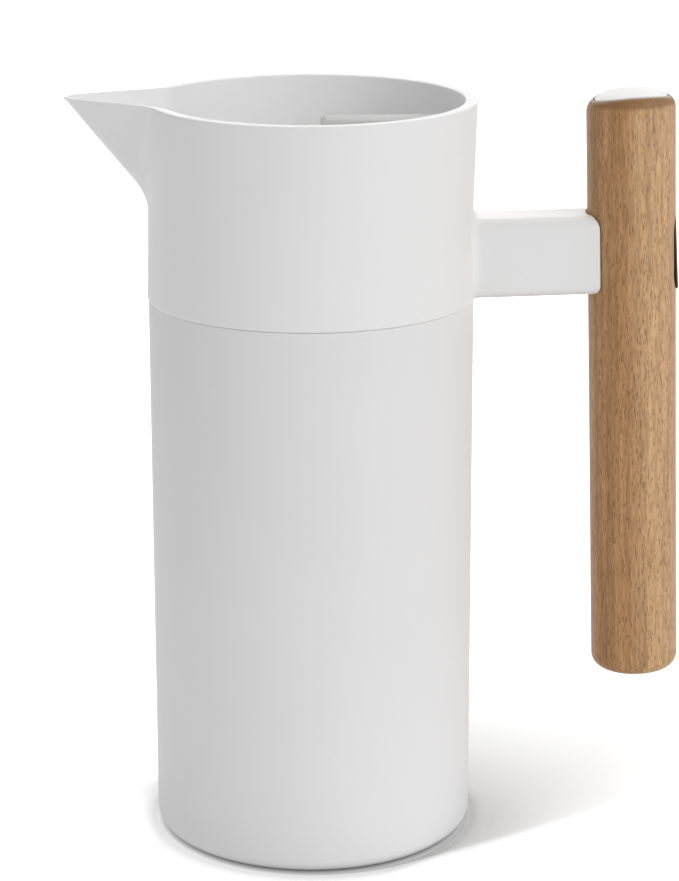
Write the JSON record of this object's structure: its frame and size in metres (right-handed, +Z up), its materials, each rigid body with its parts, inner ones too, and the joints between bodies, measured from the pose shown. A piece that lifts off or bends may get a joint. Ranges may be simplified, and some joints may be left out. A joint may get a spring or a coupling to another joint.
{
  "type": "thermal coffee carafe",
  "caption": "Cylindrical vacuum carafe with a pointed pouring spout, an upright wooden handle on one arm, and a thumb button that lifts the stopper valve through a rod and rocker.",
  "frame": {"origin": "centre of the base, on the table under the flask's axis", "axes": "+Z up along the flask, +X towards the handle, -X towards the spout"},
  "size_m": [0.1978, 0.1052, 0.2434],
  "materials": {
    "white_coat": "satin white powder coat",
    "white_plastic": "satin white moulding",
    "pale_plastic": "light grey moulding",
    "beech": "oiled beech with fine flecks",
    "black_plastic": "satin black moulding",
    "steel": "drawn stainless steel",
    "silicone": "grey silicone",
    "dark_silicone": "dark grey silicone",
    "foam": "rigid insulating foam"
  },
  "bodies": {
    "carafe": {"outer_shell": "white_coat", "inner_flask": "steel", "base_plate": "steel", "vacuum_plug": "steel", "foot_pad": "dark_silicone", "neck_ring": "pale_plastic", "neck_gasket": "silicone", "collar": "white_plastic", "rod_bush": "pale_plastic", "wood_grip": "beech", "grip_cap": "white_plastic", "grip_screw_upper": "steel", "grip_screw_lower": "steel", "button_spring": "steel"},
    "button": {"thumb_button": "black_plastic", "push_rod": "steel", "rod_tip": "white_plastic"},
    "stopper": {"stopper_dish": "white_plastic", "dish_seal": "silicone", "stopper_plug": "white_plastic", "plug_base": "white_plastic", "plug_insulation": "foam", "plug_seal": "silicone", "valve_cage": "pale_plastic", "bridge_housing": "pale_plastic", "bridge_screw_left": "steel", "bridge_screw_right": "steel", "rocker_pin": "steel", "valve_spring": "steel"},
    "rocker": {"rocker": "pale_plastic"},
    "valve": {"valve_poppet": "pale_plastic", "valve_washer": "silicone", "stem_head": "pale_plastic"}
  },
  "joints": [
    {"name": "button_press", "type": "slide", "parent": "carafe", "child": "button", "axis": [-0.9995, 0, -0.0312], "range_m": [0, 0.003], "stiffness_N_per_m": 300, "deforming": ["button_spring"]},
    {"name": "stopper_pull", "type": "slide", "parent": "carafe", "child": "stopper", "axis": [0, 0, 1], "range_m": [0, 0.12]},
    {"name": "rocker_turn", "type": "hinge", "parent": "stopper", "child": "rocker", "pos_m": [0.0395, 0, 0.222], "axis": [0, 1, 0], "range_deg": [0, 5.4]},
    {"name": "valve_lift", "type": "slide", "parent": "stopper", "child": "valve", "axis": [0, 0, 1], "range_m": [0, 0.004], "deforming": ["valve_spring"]}
  ],
  "couplings": [
    {"joint": "rocker_turn", "follows": "button_press", "rad_per_m": 30.9},
    {"joint": "valve_lift", "follows": "button_press", "ratio": 1.29}
  ]
}
